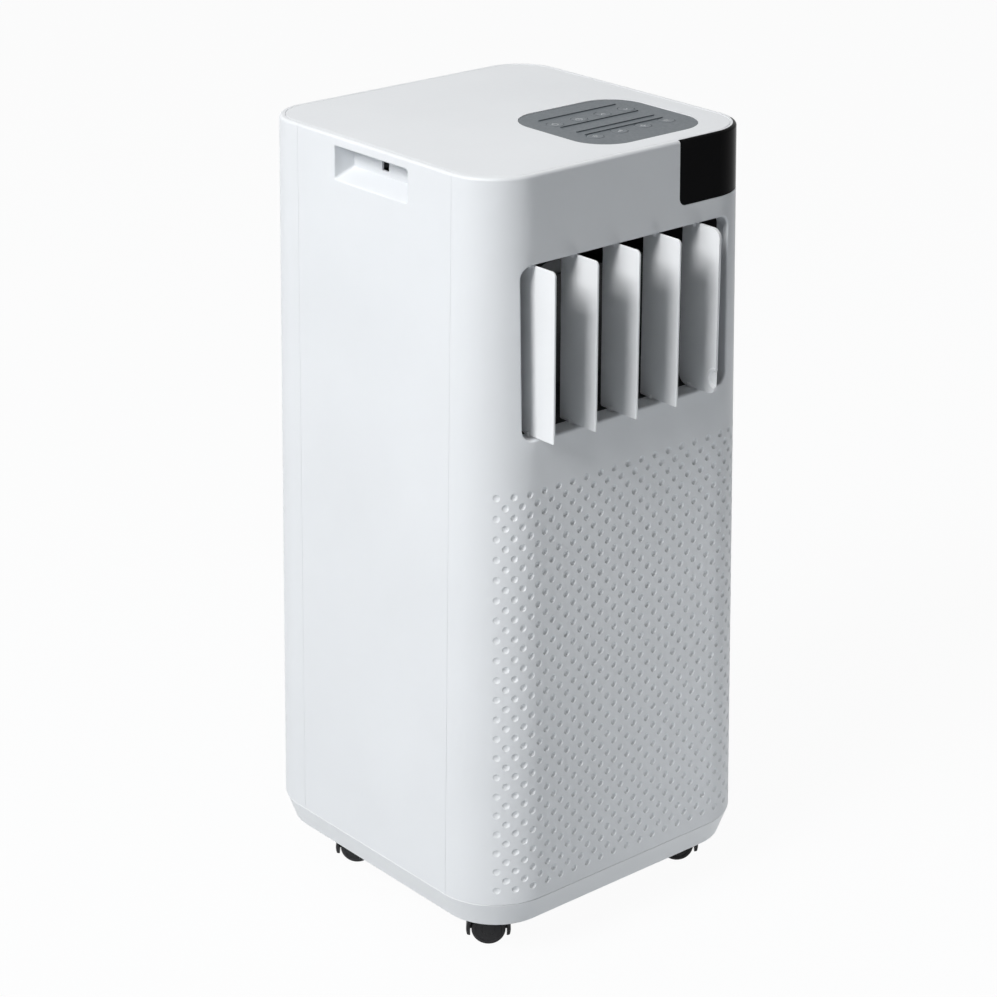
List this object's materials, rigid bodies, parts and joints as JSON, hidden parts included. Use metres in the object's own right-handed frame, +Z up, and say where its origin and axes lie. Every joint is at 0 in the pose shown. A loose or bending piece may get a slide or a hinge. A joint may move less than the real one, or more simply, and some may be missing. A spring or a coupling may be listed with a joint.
{
  "type": "portable air conditioner",
  "caption": "White portable air conditioner on swivel casters with a dimpled front, swinging outlet vanes, top control panel, corner display, side hand pockets and a rear exhaust collar.",
  "frame": {"origin": "centre of the footprint, on the floor under the cabinet", "axes": "+X to the right seen from the front, -Y towards the front with the outlet vanes, +Z up"},
  "size_m": [0.3088, 0.3348, 0.6784],
  "materials": {
    "white_shell": "fine satin moulded white plastic",
    "grey_panel": "satin blue-grey plastic",
    "key_grey": "satin light grey plastic",
    "black_window": "gloss black smoked plastic",
    "board_green": "solder-mask green board",
    "dark_duct": "dark grey plastic",
    "grey_inner": "plain grey plastic",
    "motor_steel": "grey painted steel",
    "coil_aluminium": "bare aluminium fins",
    "compressor_black": "black painted steel",
    "rubber": "matte black rubber",
    "copper_pipe": "bare copper tube",
    "steel": "plated steel",
    "caster_black": "black nylon",
    "roller_black": "black nylon"
  },
  "bodies": {
    "housing": {"base_pan": "white_shell", "front_panel": "white_shell", "left_side_panel": "white_shell", "right_side_panel": "white_shell", "rear_panel": "white_shell", "base_screws": "steel", "top_cover": "white_shell", "control_panel": "grey_panel", "control_board": "board_green", "display_window": "black_window", "display_board": "board_green", "outlet_duct": "dark_duct", "drip_tray": "grey_inner", "upper_blower_housing": "dark_duct", "upper_fan_motor": "motor_steel", "lower_blower_housing": "grey_inner", "lower_fan_motor": "motor_steel", "exhaust_riser": "grey_inner", "exhaust_collar": "white_shell", "evaporator": "coil_aluminium", "condenser": "coil_aluminium", "compressor": "compressor_black", "compressor_grommets": "rubber", "accumulator": "compressor_black", "discharge_pipe": "copper_pipe", "suction_pipe": "copper_pipe", "power_box": "grey_inner", "capacitor": "motor_steel", "filter_grille": "white_shell", "filter_mesh": "grey_inner", "drain_plug": "rubber", "cord_gland": "rubber"},
    "key_1": {"key_1": "key_grey"},
    "key_2": {"key_2": "key_grey"},
    "key_3": {"key_3": "key_grey"},
    "key_4": {"key_4": "key_grey"},
    "key_5": {"key_5": "key_grey"},
    "key_6": {"key_6": "key_grey"},
    "key_7": {"key_7": "key_grey"},
    "key_8": {"key_8": "key_grey"},
    "vane_5": {"vane_5": "white_shell"},
    "vane_1": {"vane_1": "white_shell"},
    "vane_2": {"vane_2": "white_shell"},
    "vane_3": {"vane_3": "white_shell"},
    "vane_4": {"vane_4": "white_shell"},
    "vane_link": {"vane_link_bar": "dark_duct"},
    "upper_fan": {"upper_fan_wheel": "dark_duct"},
    "lower_fan": {"lower_fan_wheel": "dark_duct"},
    "caster_front_left": {"caster_hood_front_left": "caster_black"},
    "caster_wheels_front_left": {"caster_rollers_front_left": "roller_black", "caster_axle_front_left": "steel"},
    "caster_front_right": {"caster_hood_front_right": "caster_black"},
    "caster_wheels_front_right": {"caster_rollers_front_right": "roller_black", "caster_axle_front_right": "steel"},
    "caster_rear_left": {"caster_hood_rear_left": "caster_black"},
    "caster_wheels_rear_left": {"caster_rollers_rear_left": "roller_black", "caster_axle_rear_left": "steel"},
    "caster_rear_right": {"caster_hood_rear_right": "caster_black"},
    "caster_wheels_rear_right": {"caster_rollers_rear_right": "roller_black", "caster_axle_rear_right": "steel"}
  },
  "joints": [
    {"name": "key_1_press", "type": "slide", "parent": "housing", "child": "key_1", "axis": [0, 0, -1], "range_m": [0, 0.0008], "stiffness_N_per_m": 600},
    {"name": "key_2_press", "type": "slide", "parent": "housing", "child": "key_2", "axis": [0, 0, -1], "range_m": [0, 0.0008], "stiffness_N_per_m": 600},
    {"name": "key_3_press", "type": "slide", "parent": "housing", "child": "key_3", "axis": [0, 0, -1], "range_m": [0, 0.0008], "stiffness_N_per_m": 600},
    {"name": "key_4_press", "type": "slide", "parent": "housing", "child": "key_4", "axis": [0, 0, -1], "range_m": [0, 0.0008], "stiffness_N_per_m": 600},
    {"name": "key_5_press", "type": "slide", "parent": "housing", "child": "key_5", "axis": [0, 0, -1], "range_m": [0, 0.0008], "stiffness_N_per_m": 600},
    {"name": "key_6_press", "type": "slide", "parent": "housing", "child": "key_6", "axis": [0, 0, -1], "range_m": [0, 0.0008], "stiffness_N_per_m": 600},
    {"name": "key_7_press", "type": "slide", "parent": "housing", "child": "key_7", "axis": [0, 0, -1], "range_m": [0, 0.0008], "stiffness_N_per_m": 600},
    {"name": "key_8_press", "type": "slide", "parent": "housing", "child": "key_8", "axis": [0, 0, -1], "range_m": [0, 0.0008], "stiffness_N_per_m": 600},
    {"name": "vane_5_swing", "type": "hinge", "parent": "housing", "child": "vane_5", "pos_m": [0.0784, -0.1374, 0.537], "axis": [0, 0, 1], "range_deg": [-30, 90]},
    {"name": "vane_1_swing", "type": "hinge", "parent": "housing", "child": "vane_1", "pos_m": [-0.0952, -0.1374, 0.537], "axis": [0, 0, 1], "range_deg": [-30, 90]},
    {"name": "vane_2_swing", "type": "hinge", "parent": "housing", "child": "vane_2", "pos_m": [-0.0518, -0.1374, 0.537], "axis": [0, 0, 1], "range_deg": [-30, 90]},
    {"name": "vane_3_swing", "type": "hinge", "parent": "housing", "child": "vane_3", "pos_m": [-0.0084, -0.1374, 0.537], "axis": [0, 0, 1], "range_deg": [-30, 90]},
    {"name": "vane_4_swing", "type": "hinge", "parent": "housing", "child": "vane_4", "pos_m": [0.035, -0.1374, 0.537], "axis": [0, 0, 1], "range_deg": [-30, 90]},
    {"name": "vane_link_pivot", "type": "hinge", "parent": "vane_5", "child": "vane_link", "pos_m": [0.08476, -0.13104, 0.6149], "axis": [0, 0, 1], "range_deg": [-90, 30]},
    {"name": "upper_fan_spin", "type": "hinge", "parent": "housing", "child": "upper_fan", "pos_m": [0, 0, 0.537], "axis": [0, 1, 0], "continuous": true},
    {"name": "lower_fan_spin", "type": "hinge", "parent": "housing", "child": "lower_fan", "pos_m": [0, 0.055, 0.125], "axis": [0, 1, 0], "continuous": true},
    {"name": "caster_front_left_swivel", "type": "hinge", "parent": "housing", "child": "caster_front_left", "pos_m": [-0.11, -0.091, 0.043], "axis": [0, 0, 1], "continuous": true},
    {"name": "caster_front_left_roll", "type": "hinge", "parent": "caster_front_left", "child": "caster_wheels_front_left", "pos_m": [-0.10314, -0.09682, 0.0145], "axis": [-0.6468, -0.7627, 0], "continuous": true},
    {"name": "caster_front_right_swivel", "type": "hinge", "parent": "housing", "child": "caster_front_right", "pos_m": [0.11, -0.091, 0.043], "axis": [0, 0, 1], "continuous": true},
    {"name": "caster_front_right_roll", "type": "hinge", "parent": "caster_front_right", "child": "caster_wheels_front_right", "pos_m": [0.11686, -0.09682, 0.0145], "axis": [-0.6468, -0.7627, 0], "continuous": true},
    {"name": "caster_rear_left_swivel", "type": "hinge", "parent": "housing", "child": "caster_rear_left", "pos_m": [-0.11, 0.091, 0.043], "axis": [0, 0, 1], "continuous": true},
    {"name": "caster_rear_left_roll", "type": "hinge", "parent": "caster_rear_left", "child": "caster_wheels_rear_left", "pos_m": [-0.10314, 0.08518, 0.0145], "axis": [-0.6468, -0.7627, 0], "continuous": true},
    {"name": "caster_rear_right_swivel", "type": "hinge", "parent": "housing", "child": "caster_rear_right", "pos_m": [0.11, 0.091, 0.043], "axis": [0, 0, 1], "continuous": true},
    {"name": "caster_rear_right_roll", "type": "hinge", "parent": "caster_rear_right", "child": "caster_wheels_rear_right", "pos_m": [0.11686, 0.08518, 0.0145], "axis": [-0.6468, -0.7627, 0], "continuous": true}
  ],
  "couplings": [
    {"joint": "vane_1_swing", "follows": "vane_5_swing", "ratio": 1},
    {"joint": "vane_2_swing", "follows": "vane_5_swing", "ratio": 1},
    {"joint": "vane_3_swing", "follows": "vane_5_swing", "ratio": 1},
    {"joint": "vane_4_swing", "follows": "vane_5_swing", "ratio": 1},
    {"joint": "vane_link_pivot", "follows": "vane_5_swing", "ratio": -1}
  ]
}
